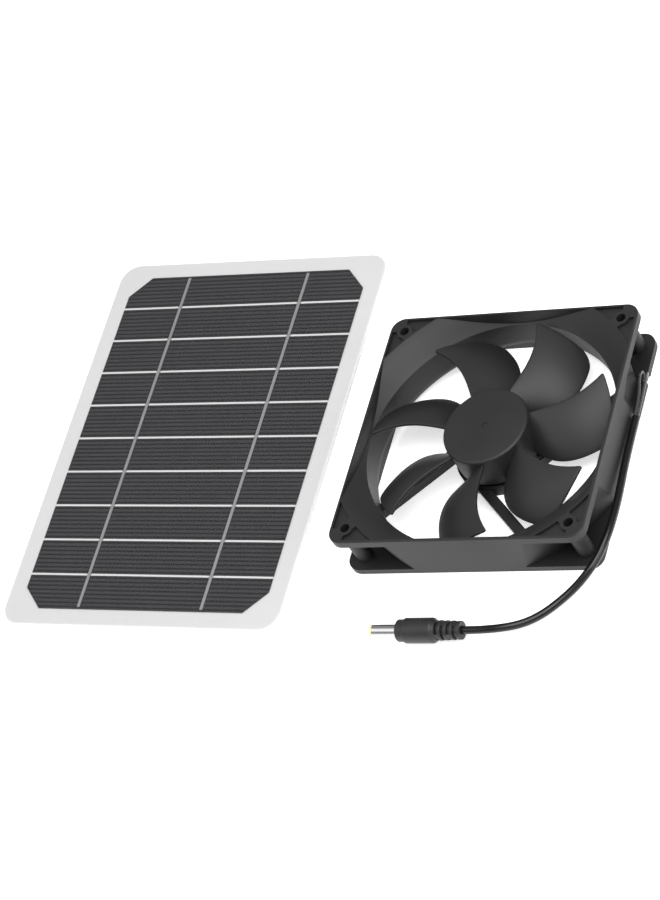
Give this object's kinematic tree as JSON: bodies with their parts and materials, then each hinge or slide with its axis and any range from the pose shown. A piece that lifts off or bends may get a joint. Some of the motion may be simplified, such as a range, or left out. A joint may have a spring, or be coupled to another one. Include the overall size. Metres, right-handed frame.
{
  "type": "solar attic fan",
  "caption": "Square axial ventilation fan with swept blades and a barrel-plug lead, with the flat frameless solar panel that powers it.",
  "frame": {"origin": "the fan's axis where it meets the fan's rear mounting face, which lies on the ground", "axes": "+Z along the fan's axis to its intake face; +X along the fan's side, away from the panel; +Y the panel's upper end"},
  "size_m": [0.3005, 0.2102, 0.025],
  "materials": {
    "frame_plastic": "fine satin moulded, charcoal",
    "impeller_plastic": "fine satin moulded, charcoal",
    "brass": "turned",
    "bearing_steel": "ground",
    "shaft_steel": "ground",
    "spring_steel": "drawn",
    "yoke_steel": "zinc plated",
    "ferrite": "bonded ferrite",
    "lamination_steel": "stamped",
    "insulator_plastic": "moulded nylon",
    "copper": "enamelled copper wire",
    "board_green": "solder mask",
    "chip_black": "moulded epoxy",
    "capacitor": "ceramic",
    "label": "blank foil label",
    "lead_black": "soft PVC",
    "cord_black": "soft PVC, slight gloss",
    "plug_black": "moulded PVC",
    "plug_metal": "nickel plated",
    "plug_insulator": "pale yellow",
    "board_white": "white laminate",
    "resin": "clear encapsulant",
    "cell": "dark silicon with printed fingers",
    "ribbon": "tinned",
    "film": "clear textured film",
    "tape": "foam adhesive",
    "box_plastic": "moulded",
    "gasket": "silicone",
    "contact_metal": "plated"
  },
  "bodies": {
    "fan": {"fan_frame": "frame_plastic", "bearing_tube": "brass", "rear_bearing": "bearing_steel", "front_bearing": "bearing_steel", "circuit_board": "board_green", "driver_chip": "chip_black", "hall_sensor": "chip_black", "filter_capacitor": "capacitor", "stator_core": "lamination_steel", "upper_insulator": "insulator_plastic", "lower_insulator": "insulator_plastic", "stator_coils": "copper", "rear_label": "label", "supply_lead": "lead_black", "return_lead": "lead_black", "power_cord": "cord_black", "plug_grip": "plug_black", "plug_sleeve": "plug_metal", "plug_insulator": "plug_insulator", "plug_contact": "contact_metal"},
    "rotor": {"impeller": "impeller_plastic", "rotor_yoke": "yoke_steel", "rotor_magnet": "ferrite", "rotor_shaft": "shaft_steel", "shaft_clip": "spring_steel", "preload_spring": "spring_steel"},
    "panel": {"back_board": "board_white", "encapsulant": "resin", "cell_strips": "cell", "front_busbars": "ribbon", "output_ribbons": "ribbon", "front_film": "film", "box_adhesive": "tape", "junction_box": "box_plastic", "jack_shell": "box_plastic", "jack_pin": "contact_metal", "terminal_board": "board_green", "blocking_diode": "chip_black", "jack_leads": "lead_black", "lid_gasket": "gasket", "box_lid": "box_plastic", "lid_screws": "bearing_steel"}
  },
  "joints": [
    {"name": "impeller_spin", "type": "hinge", "parent": "fan", "child": "rotor", "pos_m": [0, 0, 0.012], "axis": [0, 0, 1], "continuous": true},
    {"name": "panel_lift", "type": "slide", "parent": "fan", "child": "panel", "axis": [0, 0, 1], "range_m": [0, 0.1]}
  ]
}
